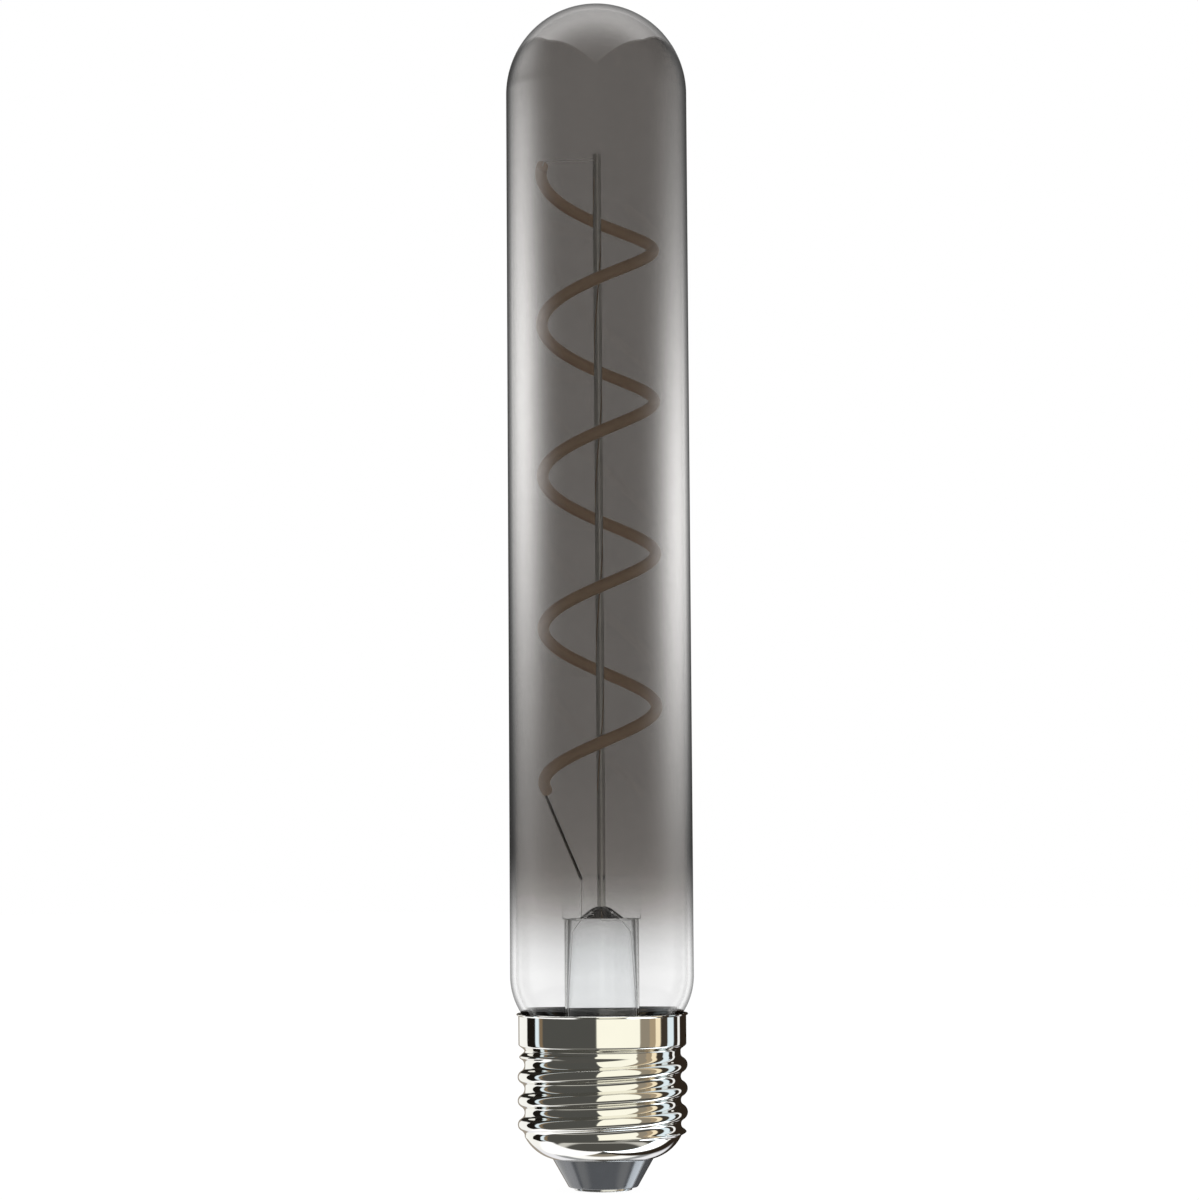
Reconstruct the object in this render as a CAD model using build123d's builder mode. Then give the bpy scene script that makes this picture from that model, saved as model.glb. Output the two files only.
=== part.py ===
import math
import os

from build123d import *

os.makedirs("parts", exist_ok=True)

# Whole lamp: cap down, dome up, origin at the centre of the contact's lower face, front towards -Y
overall_length = 185.0
glass_diameter = 28.4
glass_wall = 0.9

# Glass shoulder and neck, which run down into the cap
shoulder_radius = 10.6
neck_bend_radius = 5.4
neck_bend_depth = 3.4
neck_length = 7.0
neck_clearance = 0.45

# Screw shell: the 27 mm Edison cap, seven threads to the inch, rolled from sheet
cap_height = 27.0
sheet = 0.3
thread_pitch = 25.4 / 7
thread_major = 26.2
thread_depth = 1.05
thread_arc = 1.025
crest_facets = 3
skirt_rise = 0.9
skirt_length = 4.7
skirt_step = 1.0
lip_overhang = 0.3
bowl_radius = 6.5
bowl_height = 3.35
mouth_diameter = 15.7
mouth_height = 4.85
bowl_steps = 4

# Insulator and centre contact
insulator_foot_diameter = 10.9
insulator_edge = 0.5
well_diameter = 17.0
well_depth = 2.0
contact_diameter = 8.9
contact_thickness = 0.45
contact_edge = 0.15
shank_diameter = 2.0
shank_reach = 0.8

# Cement that holds the glass neck in the skirt
cement_height = 3.9
cement_depth = 0.4

# Glass stem: a tube flared to the neck at its foot, its head pressed to a block with flat faces
stem_diameter = 11.5
stem_above_cap = 21.2
press_width = 11.9
press_depth = 10.6
press_corner = 1.7
press_edge = 0.8
press_root = 0.1
flare_height = 8.0
flare_rim = 1.2
flare_wall = 1.0
flare_steps = 4

# Bell-shaped hollow of the stem
bell_crown_below_head = 4.75
bell_crown_diameter = 6.86
bell_crown_height = 1.85
bell_tip_radius = 3.0
bell_shoulder_diameter = 9.54
bell_foot_diameter = 11.0

# Centre rod and the spiral filament round it
rod_diameter = 1.25
rod_to_dome = 23.8
rod_foot_reach = 0.35
filament_coil_diameter = 17.56
filament_turns = 4.085
filament_below_rod = 2.24
filament_above_stem = 13.2
filament_foot_angle = 165.0
strand_width = 1.76
strand_sides = 6

# Wires
lead_diameter = 0.46
lead_offset = 0.5
lead_foot_spread = 3.05
lead_sink = 0.7
link_diameter = 0.16
link_below_rod_head = 0.8
link_reach = 1.2
feed_diameter = 0.12
feed_gap = 0.15
feed_drop = 0.25
feed_lean = 2.0
mains_wire_diameter = 0.6
shell_wire_rise = 2.3
shell_wire_inset = 2.2
wire_tail = 0.6

# Driver inside the cap
board_thickness = 1.0
board_clearance = 0.35
capacitor_diameter = 6.0
capacitor_height = 9.0
capacitor_edge = 0.6
choke_diameter = 6.0
choke_height = 6.5
choke_flange = 1.0
choke_core_diameter = 3.0
winding_inset = 0.25
chip_length = 4.9
chip_width = 3.9
chip_height = 1.5
chip_edge = 0.25
capacitor_offset = 6.0
resistor_diameter = 2.3
resistor_height = 6.5
resistor_edge = 0.4
choke_offset = 6.6
chip_offset_x = 6.2
chip_offset_y = 4.6
resistor_offset_x = 6.4
resistor_offset_y = -5.2

# Places worked out from the sizes above
glass_radius = glass_diameter / 2
major_radius = thread_major / 2
minor_radius = major_radius - thread_depth
bore_radius = minor_radius - sheet
skirt_radius = minor_radius + skirt_rise
mouth_radius = mouth_diameter / 2
neck_radius = bore_radius - neck_clearance
neck_foot = cap_height - neck_length
bend_radii = shoulder_radius + neck_bend_radius
shoulder_turn = math.degrees(math.acos(1 - (glass_radius - neck_radius) / bend_radii))
shoulder_height = cap_height - neck_bend_depth + bend_radii * math.sin(math.radians(shoulder_turn))
thread_foot = mouth_height + bowl_height
skirt_foot = cap_height - skirt_length
thread_head = skirt_foot - skirt_step
stem_radius = stem_diameter / 2
stem_head = cap_height + stem_above_cap
flare_head = neck_foot + flare_height
bell_head = stem_head - bell_crown_below_head
crown_foot = bell_head - bell_crown_height
rod_head = overall_length - rod_to_dome
rod_foot = bell_head - rod_foot_reach
coil_radius = filament_coil_diameter / 2
filament_head = rod_head - filament_below_rod
filament_foot = stem_head + filament_above_stem
filament_pitch = (filament_head - filament_foot) / filament_turns
filament_head_angle = filament_foot_angle + 360 * filament_turns
board_foot = thread_foot
board_head = board_foot + board_thickness
shank_head = board_foot - well_depth + shank_reach


def around(radius, degrees, height):
    """A point at a radius and an angle about the lamp's axis."""
    return Vector(radius * math.cos(math.radians(degrees)), radius * math.sin(math.radians(degrees)), height)


def spiral_direction(degrees):
    """The filament's upward direction at an angle about the axis."""
    rise = filament_pitch / (2 * math.pi)
    return (around(coil_radius, degrees + 90, rise)).normalized()


def crest_point(share):
    """A point on the thread's round crest, from -1 at its lower flank to 1 at its upper one."""
    angle = share * math.asin(thread_pitch / (4 * thread_arc))
    return (major_radius - thread_arc * (1 - math.cos(angle)), thread_arc * math.sin(angle))


def arc_steps(start, end, radius, steps):
    """Points along an arc that bulges to the right of the way from start to end, without its two ends."""
    start, end = Vector(*start), Vector(*end)
    chord = end - start
    left = Vector(-chord.Y, chord.X).normalized()
    centre = (start + end) * 0.5 + left * math.sqrt(radius**2 - chord.length**2 / 4)
    turn = 2 * math.degrees(math.asin(chord.length / (2 * radius)))
    arm = start - centre
    points = [centre + arm.rotate(Axis.Z, turn * step / steps) for step in range(1, steps)]
    return [(point.X, point.Y) for point in points]


def trumpet_steps(start, end, steps):
    """Points from an upright start to a level end, along a quarter of an ellipse, with its end."""
    angles = [math.pi / 2 * step / steps for step in range(1, steps + 1)]
    across, along = end[0] - start[0], end[1] - start[1]
    return [(start[0] + across * (1 - math.cos(a)), start[1] + along * math.sin(a)) for a in angles]


def drawn_wire(points, diameter):
    """A round wire along straight runs."""
    with BuildPart() as wire:
        with BuildLine() as route:
            Polyline(*points)
        with BuildSketch(Plane(route.line @ 0, z_dir=route.line % 0)):
            Circle(diameter / 2)
        sweep(path=route.line, transition=Transition.RIGHT)
    return wire.part


# Glass envelope: a blown tube with a round end, drawn in to a neck
with BuildPart() as glass_envelope:
    with BuildSketch(Plane.XZ):
        with BuildLine():
            dome = JernArc((0, overall_length), (1, 0), glass_radius, -90)
            wall = Line(dome @ 1, (glass_radius, shoulder_height))
            lean = JernArc(wall @ 1, (0, -1), shoulder_radius, -shoulder_turn)
            back = JernArc(lean @ 1, lean % 1, neck_bend_radius, shoulder_turn)
            Polyline(back @ 1, (neck_radius, neck_foot), (0, neck_foot), (0, overall_length))
        make_face()
    revolve(axis=Axis.Z)
    offset(amount=-glass_wall, openings=glass_envelope.faces().sort_by(Axis.Z)[0])

# One long thread ridge with a round crest, its foot sunk half way into the sheet
with BuildPart() as thread_ridge:
    with BuildLine() as thread_path:
        Helix(
            thread_pitch,
            thread_head - thread_foot + 2 * thread_pitch,
            minor_radius,
            center=(0, 0, thread_foot - thread_pitch),
        )
    crest = [crest_point(2 * step / crest_facets - 1) for step in range(crest_facets + 1)]
    ridge_foot = minor_radius - sheet / 2
    flank_run = (crest[-1][0] - ridge_foot) * (crest[-1][0] - crest[-2][0]) / (crest[-2][1] - crest[-1][1])
    ridge_half = crest[-1][1] + abs(flank_run) / 2
    ridge_start = thread_foot - thread_pitch
    with BuildSketch(Plane.XZ):
        with BuildLine():
            Polyline(
                (ridge_foot, ridge_start - ridge_half),
                *[(radius, ridge_start + height) for radius, height in crest],
                (ridge_foot, ridge_start + ridge_half),
                close=True,
            )
        make_face()
    sweep(path=thread_path.line, is_frenet=True)
    with BuildSketch(Plane.XZ):
        with BuildLine():
            run_out = major_radius - minor_radius
            Polyline(
                (0, thread_foot),
                (minor_radius, thread_foot),
                (major_radius + sheet, thread_foot + run_out + sheet),
                (major_radius + sheet, thread_head - run_out - sheet),
                (minor_radius, thread_head),
                (0, thread_head),
                close=True,
            )
        make_face()
    revolve(axis=Axis.Z, mode=Mode.INTERSECT)

# Screw shell: bowl, threaded barrel, skirt and turned-out lip of one sheet
bowl_foot, bowl_head = (mouth_radius, mouth_height), (minor_radius, thread_foot)
seat_foot, seat_head = (mouth_radius - sheet, mouth_height + sheet / 2), (bore_radius, thread_foot)
seat_points = arc_steps(seat_foot, seat_head, bowl_radius - sheet, bowl_steps)
with BuildPart() as screw_shell:
    with BuildSketch(Plane.XZ):
        with BuildLine():
            lip_foot = cap_height - sheet
            Polyline(
                bowl_foot,
                *arc_steps(bowl_foot, bowl_head, bowl_radius, bowl_steps),
                bowl_head,
                (minor_radius, thread_head),
                (skirt_radius, skirt_foot),
                (skirt_radius, lip_foot),
                (skirt_radius + lip_overhang, lip_foot),
                (skirt_radius + lip_overhang, cap_height),
                (skirt_radius - sheet, cap_height),
                (skirt_radius - sheet, skirt_foot),
                (bore_radius, thread_head),
                seat_head,
                *reversed(seat_points),
                seat_foot,
                close=True,
            )
        make_face()
    revolve(axis=Axis.Z)
    add(thread_ridge.part)

# Insulator: a glass cone outside the shell's mouth and a dish seated in its bowl
with BuildPart() as insulator:
    with BuildSketch(Plane.XZ):
        with BuildLine():
            foot_radius = insulator_foot_diameter / 2
            Polyline(
                (shank_diameter / 2, contact_thickness),
                (foot_radius - insulator_edge, contact_thickness),
                (foot_radius, contact_thickness + insulator_edge / 2),
                bowl_foot,
                seat_foot,
                *seat_points,
                seat_head,
                (well_diameter / 2, thread_foot),
                (well_diameter / 2, thread_foot - well_depth),
                (shank_diameter / 2, thread_foot - well_depth),
                close=True,
            )
        make_face()
    revolve(axis=Axis.Z)

# Centre contact: a thin disc with a shank up through the insulator
with BuildPart() as centre_contact:
    with BuildSketch(Plane.XY):
        Circle(contact_diameter / 2)
    extrude(amount=contact_thickness)
    chamfer(centre_contact.edges().group_by(Axis.Z)[0], length=contact_edge)
    with BuildSketch(Plane.XY.offset(contact_thickness)):
        Circle(shank_diameter / 2)
    extrude(amount=shank_head - contact_thickness)

# Cement ring between the glass neck and the inside of the skirt
with BuildPart() as basing_cement:
    with BuildSketch(Plane.XY.offset(cap_height - cement_depth)):
        Circle(skirt_radius - sheet)
        Circle(neck_radius, mode=Mode.SUBTRACT)
    extrude(amount=-cement_height)
    add(glass_envelope.part, mode=Mode.SUBTRACT)

# Centre rod, the polished post that carries the filament's upper end
with BuildPart() as centre_rod:
    with BuildSketch(Plane.XY.offset(rod_foot)):
        Circle(rod_diameter / 2)
    extrude(amount=rod_head - rod_foot)

# Filament: one coated strand wound right-handed round the rod
with BuildPart() as strand:
    with BuildLine() as coil:
        Helix(filament_pitch, filament_head - filament_foot, coil_radius, center=(0, 0, filament_foot))
    with BuildSketch(Plane(coil.line @ 0, x_dir=(1, 0, 0), z_dir=coil.line % 0)):
        RegularPolygon(strand_width / 2, strand_sides, major_radius=False)
    sweep(path=coil.line, is_frenet=True)
with BuildPart() as filament_spiral:
    add(strand.part, rotation=(0, 0, filament_foot_angle))

# Lower lead, from the outer side of the filament's lower end into the pinch
lead_start = around(coil_radius + lead_offset, filament_foot_angle, filament_foot)
lead_end = Vector(-lead_foot_spread, 0, stem_head - lead_sink)
with BuildPart() as lower_lead_wire:
    add(drawn_wire([lead_start, lead_end], lead_diameter))
    add(filament_spiral.part, mode=Mode.SUBTRACT)

# Upper link, from the filament's upper end across to the rod
link_start = around(coil_radius, filament_head_angle, filament_head)
link_turn = link_start + spiral_direction(filament_head_angle) * link_reach
link_end = Vector(0, 0, rod_head - link_below_rod_head)
with BuildPart() as upper_link_wire:
    add(drawn_wire([link_start, link_turn, link_end], link_diameter))
    add(centre_rod.part, mode=Mode.SUBTRACT)
    add(filament_spiral.part, mode=Mode.SUBTRACT)

# Feed wires, down the inside of the bell to the driver
feed_shoulder = bell_shoulder_diameter / 2 - feed_gap - feed_diameter / 2
feed_foot = bell_foot_diameter / 2 - feed_gap - feed_diameter / 2
feed_tail = board_foot - wire_tail
lower_feed_route = [
    lead_end,
    (-lead_foot_spread, 0, crown_foot),
    (-feed_shoulder, 0, crown_foot - feed_lean),
    (-feed_foot, 0, flare_head),
    (-feed_foot, 0, feed_tail),
]
rod_feed_route = [
    (0, 0, rod_foot),
    (0, 0, crown_foot - feed_drop),
    (lead_foot_spread, 0, crown_foot - feed_drop),
    (feed_shoulder, 0, crown_foot - feed_lean),
    (feed_foot, 0, flare_head),
    (feed_foot, 0, feed_tail),
]
with BuildPart() as lower_feed_wire:
    add(drawn_wire(lower_feed_route, feed_diameter))
    add(lower_lead_wire.part, mode=Mode.SUBTRACT)
with BuildPart() as rod_feed_wire:
    add(drawn_wire(rod_feed_route, feed_diameter))

# Glass stem: pressed head, tube, bell and flare
with BuildPart() as glass_stem:
    press_foot = crown_foot - press_root
    with BuildSketch(Plane.XZ):
        with Locations((0, press_foot)):
            Rectangle(press_width, stem_head - press_foot, align=(Align.CENTER, Align.MIN))
    extrude(amount=press_depth / 2, both=True)
    fillet(glass_stem.edges().filter_by(Axis.Y).group_by(Axis.Z)[-1], radius=press_corner)
    with BuildSketch(Plane.XY.offset(press_foot)):
        RectangleRounded(press_width, press_depth, press_edge)
    extrude(amount=stem_head - press_foot, mode=Mode.INTERSECT)
    with BuildSketch(Plane.XZ):
        with BuildLine():
            tube_head = crown_foot + press_root
            flare_edge = neck_radius - glass_wall
            flare_foot = (flare_edge, neck_foot + flare_rim)
            Polyline(
                (0, tube_head),
                (stem_radius, tube_head),
                (stem_radius, flare_head),
                *trumpet_steps((stem_radius, flare_head), flare_foot, flare_steps),
                (flare_edge, neck_foot),
                (0, neck_foot),
                close=True,
            )
        make_face()
    revolve(axis=Axis.Z)
    with BuildSketch(Plane.XZ):
        with BuildLine():
            crown_edge = (bell_crown_diameter / 2, crown_foot)
            round_limit = (crown_edge[0] ** 2 + bell_crown_height**2) / (2 * bell_crown_height)
            tip_radius = min(bell_tip_radius, round_limit)
            tip_rise = tip_radius - bell_crown_height
            tip_reach = math.hypot(crown_edge[0], tip_rise)
            crown_lean = math.asin(min(1, tip_radius / tip_reach)) - math.atan2(tip_rise, crown_edge[0])
            tip_drop = tip_radius * (1 - math.cos(crown_lean))
            tip_edge = (tip_radius * math.sin(crown_lean), bell_head - tip_drop)
            bell_shoulder = (bell_shoulder_diameter / 2, crown_foot)
            bell_foot = (bell_foot_diameter / 2, flare_head)
            RadiusArc((0, bell_head), tip_edge, tip_radius)
            Polyline(
                tip_edge,
                crown_edge,
                bell_shoulder,
                bell_foot,
                *trumpet_steps(bell_foot, (flare_edge - flare_wall, neck_foot), flare_steps),
                (0, neck_foot),
                (0, bell_head),
            )
        make_face()
    revolve(axis=Axis.Z, mode=Mode.SUBTRACT)
    add(centre_rod.part, mode=Mode.SUBTRACT)
    add(lower_lead_wire.part, mode=Mode.SUBTRACT)
    add(lower_feed_wire.part, mode=Mode.SUBTRACT)

# Mains wires from the driver to the contact and to the shell
with BuildPart() as contact_wire:
    add(drawn_wire([(0, 0, shank_head), (0, 0, board_head + wire_tail)], mains_wire_diameter))
wire_place = bore_radius - shell_wire_inset
wire_top = board_head + shell_wire_rise
shell_wire_route = [(0, wire_place, board_foot), (0, wire_place, wire_top), (0, minor_radius, wire_top)]
with BuildPart() as shell_wire:
    add(drawn_wire(shell_wire_route, mains_wire_diameter))
    with BuildSketch(Plane.XY.offset(board_foot)):
        Circle(bore_radius)
    extrude(amount=cap_height - board_foot, mode=Mode.INTERSECT)

# Driver board, seated on the insulator's rim, with its holes filled by the wires
with BuildPart() as driver_board:
    with BuildSketch(Plane.XY.offset(board_foot)):
        Circle(bore_radius - board_clearance)
    extrude(amount=board_thickness)
    for wire in (lower_feed_wire, rod_feed_wire, contact_wire, shell_wire):
        add(wire.part, mode=Mode.SUBTRACT)

# Parts on the board
with BuildPart() as smoothing_capacitor:
    with BuildSketch(Plane.XY.offset(board_head)):
        with Locations((0, capacitor_offset)):
            Circle(capacitor_diameter / 2)
    extrude(amount=capacitor_height)
    chamfer(smoothing_capacitor.edges().group_by(Axis.Z)[-1], length=capacitor_edge)
with BuildPart() as choke_core:
    with BuildSketch(Plane.XY.offset(board_head)):
        with Locations((0, -choke_offset)):
            Circle(choke_diameter / 2)
    extrude(amount=choke_height)
    with BuildSketch(Plane.XY.offset(board_head + choke_flange)):
        with Locations((0, -choke_offset)):
            Circle(choke_diameter / 2)
            Circle(choke_core_diameter / 2, mode=Mode.SUBTRACT)
    extrude(amount=choke_height - 2 * choke_flange, mode=Mode.SUBTRACT)
with BuildPart() as choke_winding:
    with BuildSketch(Plane.XY.offset(board_head + choke_flange)):
        with Locations((0, -choke_offset)):
            Circle(choke_diameter / 2 - winding_inset)
            Circle(choke_core_diameter / 2, mode=Mode.SUBTRACT)
    extrude(amount=choke_height - 2 * choke_flange)
with BuildPart() as bridge_rectifier:
    with BuildSketch(Plane.XY.offset(board_head)):
        with Locations((chip_offset_x, chip_offset_y)):
            Rectangle(chip_width, chip_length)
    extrude(amount=chip_height)
    chamfer(bridge_rectifier.edges().group_by(Axis.Z)[-1], length=chip_edge)
with BuildPart() as driver_chip:
    with BuildSketch(Plane.XY.offset(board_head)):
        with Locations((-chip_offset_x, chip_offset_y)):
            Rectangle(chip_width, chip_length)
    extrude(amount=chip_height)
    chamfer(driver_chip.edges().group_by(Axis.Z)[-1], length=chip_edge)
with BuildPart() as fusible_resistor:
    with BuildSketch(Plane.XY.offset(board_head)):
        with Locations((resistor_offset_x, resistor_offset_y)):
            Circle(resistor_diameter / 2)
    extrude(amount=resistor_height)
    chamfer(fusible_resistor.edges().group_by(Axis.Z)[-1], length=resistor_edge)

pieces = {
    "glass_envelope": glass_envelope,
    "glass_stem": glass_stem,
    "centre_rod": centre_rod,
    "filament_spiral": filament_spiral,
    "lower_lead_wire": lower_lead_wire,
    "upper_link_wire": upper_link_wire,
    "lower_feed_wire": lower_feed_wire,
    "rod_feed_wire": rod_feed_wire,
    "screw_shell": screw_shell,
    "insulator": insulator,
    "centre_contact": centre_contact,
    "basing_cement": basing_cement,
    "driver_board": driver_board,
    "smoothing_capacitor": smoothing_capacitor,
    "choke_core": choke_core,
    "choke_winding": choke_winding,
    "bridge_rectifier": bridge_rectifier,
    "driver_chip": driver_chip,
    "fusible_resistor": fusible_resistor,
    "contact_wire": contact_wire,
    "shell_wire": shell_wire,
}
for name, piece in pieces.items():
    piece.part.label = name
    export_step(piece.part, f"parts/{name}.step")
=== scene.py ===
import math

import bpy
import numpy as np
from mathutils import Matrix, Vector


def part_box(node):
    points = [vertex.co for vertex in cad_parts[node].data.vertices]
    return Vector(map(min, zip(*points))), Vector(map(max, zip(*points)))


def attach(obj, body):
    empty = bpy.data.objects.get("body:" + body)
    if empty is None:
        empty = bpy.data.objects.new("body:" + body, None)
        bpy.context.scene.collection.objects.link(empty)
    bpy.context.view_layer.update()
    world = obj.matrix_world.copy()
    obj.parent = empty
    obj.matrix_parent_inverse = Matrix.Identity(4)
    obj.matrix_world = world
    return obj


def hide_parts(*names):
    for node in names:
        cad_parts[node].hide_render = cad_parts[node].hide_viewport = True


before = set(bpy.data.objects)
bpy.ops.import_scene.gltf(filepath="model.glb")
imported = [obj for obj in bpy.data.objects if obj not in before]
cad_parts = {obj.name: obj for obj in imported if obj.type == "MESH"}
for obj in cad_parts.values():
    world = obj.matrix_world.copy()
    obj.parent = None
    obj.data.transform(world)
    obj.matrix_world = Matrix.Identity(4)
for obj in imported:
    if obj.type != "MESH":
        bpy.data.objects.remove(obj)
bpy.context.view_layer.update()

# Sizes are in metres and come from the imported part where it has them
MM = 0.001
SAME_POINT = 1e-7
TINY_EDGE = 1e-8
ROUND_STEPS = 160
SHARP_ANGLE = 40

# Photograph: the camera that fits it, in the part's own frame
PHOTO_LONG_SIDE_PX = 1200
FOCAL_PX = 3367.7
CAMERA_PLACE = (0.0, -523.1 * MM, 49.98 * MM)
CAMERA_PITCH = 0.0781
CAMERA_ROLL = -0.0066
SENSOR_WIDTH_MM = 36.0
NEAREST = 0.01
FARTHEST = 50.0

# Floor
FLOOR_SIZE = 6.0
FLOOR_TONE = (0.06, 0.06, 0.06)
FLOOR_ROUGHNESS = 0.9
FLOOR_GLOW = 0.97

# Glass envelope
GLASS_WALL = 0.9 * MM
SHOULDER_RADIUS = 10.6 * MM
NECK_BEND_RADIUS = 5.4 * MM
NECK_BEND_DEPTH = 3.4 * MM
NECK_RADIUS = 11.3 * MM

# Screw shell
SHEET = 0.3 * MM
THREAD_PITCH = 25.4 / 7 * MM
THREAD_DEPTH = 1.05 * MM
THREAD_ARC = 1.025 * MM
THREAD_MAJOR = 13.1 * MM
THREAD_MINOR = THREAD_MAJOR - THREAD_DEPTH
THREAD_FADE_FOOT = 0.7 * MM
THREAD_FADE_HEAD = 1.2 * MM
SHELL_BORE = THREAD_MINOR - SHEET
SKIRT_RADIUS = 12.95 * MM
SKIRT_LENGTH = 4.7 * MM
SKIRT_STEP = 1.0 * MM
BOWL_RADIUS = 6.5 * MM
BOWL_HEIGHT = 3.35 * MM
MOUTH_RADIUS = 7.85 * MM
LIP_ROUND = 0.1 * MM
SHELL_STEPS = 252
THREAD_ROWS = 200

# Insulator and contact
INSULATOR_FOOT = 5.45 * MM
INSULATOR_ROUND = 0.35 * MM
INSULATOR_WELL = 8.5 * MM
INSULATOR_WELL_DEPTH = 2.0 * MM
INSULATOR_EDGE_IN = 0.05 * MM
INSULATOR_EDGE_DOWN = 0.02 * MM
CONTACT_SHANK = 1.0 * MM
CONTACT_THICKNESS = 0.45 * MM
CONTACT_ROUND = 0.15 * MM

# Glass stem
STEM_RADIUS = 5.75 * MM
PRESS_WIDTH = 11.9 * MM
PRESS_DEPTH = 10.6 * MM
PRESS_CORNER = 1.7 * MM
PRESS_EDGE = 0.8 * MM
PRESS_ROOT = 0.1 * MM
PRESS_ROUND_STEPS = 12
FLARE_HEIGHT = 8.0 * MM
FLARE_WALL = 1.0 * MM
FLARE_RIM = 1.2 * MM
FLARE_GAP = 0.02 * MM
BELL_CROWN_BELOW = 4.75 * MM
BELL_CROWN_HALF = 3.43 * MM
BELL_CROWN_HEIGHT = 1.85 * MM
BELL_TIP_RADIUS = 3.0 * MM
BELL_SHOULDER_RADIUS = 4.77 * MM
BELL_FOOT_RADIUS = 5.5 * MM
STEM_SHARP_ANGLE = 20

# Centre rod and filament
ROD_EDGE = 0.08 * MM
ROD_STEPS = 48
COIL_RADIUS = 8.78 * MM
STRAND_RADIUS = 0.92 * MM
STRAND_SIDES = 24
FILAMENT_TURNS = 4.085
FILAMENT_STEPS = 320
FILAMENT_SHARP_ANGLE = 50
FILAMENT_FOOT_ANGLE = math.radians(165)
FILAMENT_ABOVE_STEM = 13.2 * MM
FILAMENT_BELOW_ROD = 2.24 * MM


def activate(piece):
    """Selects one object and nothing else."""
    bpy.ops.object.select_all(action="DESELECT")
    piece.select_set(True)
    bpy.context.view_layer.objects.active = piece


def arc(centre, radius, start, end, steps):
    """Points on an arc in the outline's plane, angles in degrees."""
    angles = [math.radians(start + (end - start) * k / steps) for k in range(steps + 1)]
    return [(centre[0] + radius * math.cos(a), centre[1] + radius * math.sin(a)) for a in angles]


def line(start, end, steps):
    """Points on a straight run, with both ends."""
    shares = [k / steps for k in range(steps + 1)]
    return [(start[0] + (end[0] - start[0]) * s, start[1] + (end[1] - start[1]) * s) for s in shares]


def arc_between(start, end, radius, steps):
    """Points on an arc that bulges to the right of the way from start to end."""
    start, end = Vector(start), Vector(end)
    chord = end - start
    left = Vector((-chord.y, chord.x)).normalized()
    centre = (start + end) / 2 + left * math.sqrt(radius**2 - chord.length_squared / 4)
    turn = 2 * math.asin(chord.length / (2 * radius))
    arm = start - centre
    first = math.atan2(arm.y, arm.x)
    return arc(centre, radius, math.degrees(first), math.degrees(first + turn), steps)


def trumpet(start, end, steps):
    """Points from an upright start to a level end, along a quarter of an ellipse."""
    angles = [math.pi / 2 * k / steps for k in range(steps + 1)]
    across, along = end[0] - start[0], end[1] - start[1]
    return [(start[0] + across * (1 - math.cos(a)), start[1] + along * math.sin(a)) for a in angles]


def select_edges(piece, picked):
    """Leaves a piece in edit mode with only the edges selected that a test picks."""
    activate(piece)
    bpy.ops.object.mode_set(mode="EDIT")
    bpy.ops.mesh.select_mode(type="EDGE")
    bpy.ops.mesh.select_all(action="DESELECT")
    bpy.ops.object.mode_set(mode="OBJECT")
    for edge in piece.data.edges:
        edge.select = picked(edge)
    bpy.ops.object.mode_set(mode="EDIT")


def turned(name, outline, closed=False, steps=ROUND_STEPS):
    """A body turned about the lamp's axis from an outline of radius and height."""
    points = [outline[0]]
    for point in outline[1:]:
        if (Vector(point) - Vector(points[-1])).length > SAME_POINT:
            points.append(point)
    bpy.ops.mesh.primitive_circle_add(vertices=len(points), fill_type="NOTHING")
    piece = bpy.context.object
    piece.name = name
    piece.data.name = name
    co = np.array([(r, 0.0, z) for r, z in points], dtype=np.float32)
    piece.data.vertices.foreach_set("co", co.ravel())
    activate(piece)
    if not closed:
        ends = {0, len(points) - 1}
        select_edges(piece, lambda edge: set(edge.vertices) == ends)
        bpy.ops.mesh.delete(type="EDGE")
        bpy.ops.object.mode_set(mode="OBJECT")
    screw = piece.modifiers.new("Turn", "SCREW")
    screw.axis = "Z"
    screw.steps = screw.render_steps = steps
    screw.use_merge_vertices = True
    screw.merge_threshold = SAME_POINT
    bpy.ops.object.modifier_apply(modifier=screw.name)
    clean(piece)
    return piece


def clean(piece, angle=SHARP_ANGLE):
    """Merges doubles, turns the normals outwards and smooths all but sharp edges."""
    activate(piece)
    bpy.ops.object.mode_set(mode="EDIT")
    bpy.ops.mesh.select_all(action="SELECT")
    bpy.ops.mesh.remove_doubles(threshold=SAME_POINT)
    bpy.ops.mesh.dissolve_degenerate(threshold=TINY_EDGE)
    bpy.ops.mesh.normals_make_consistent(inside=False)
    bpy.ops.object.mode_set(mode="OBJECT")
    bpy.ops.object.shade_smooth_by_angle(angle=math.radians(angle))


def reshape(piece, rule):
    """Moves every vertex by a rule on the arrays of its coordinates."""
    mesh = piece.data
    co = np.empty(len(mesh.vertices) * 3, dtype=np.float32)
    mesh.vertices.foreach_get("co", co)
    moved = rule(*co.reshape(-1, 3).astype(np.float64).T)
    mesh.vertices.foreach_set("co", np.stack(moved, axis=1).astype(np.float32).ravel())
    mesh.update()


def smoothstep(low, high, value):
    """Rises softly from 0 at the low value to 1 at the high one."""
    share = np.clip((value - low) / (high - low), 0, 1)
    return share * share * (3 - 2 * share)


def merge_body(piece, other, operation):
    """Joins a body with another one or cuts it away, and uses the other one up."""
    activate(piece)
    change = piece.modifiers.new("Body", "BOOLEAN")
    change.operation = operation
    change.solver = "EXACT"
    change.object = other
    bpy.ops.object.modifier_apply(modifier=change.name)
    bpy.data.objects.remove(other)


def finish_piece(piece, node, material):
    """Puts a finished piece in place of its CAD node."""
    piece.data.materials.clear()
    piece.data.materials.append(material)
    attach(piece, "root")
    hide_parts(node)


# Materials

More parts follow.
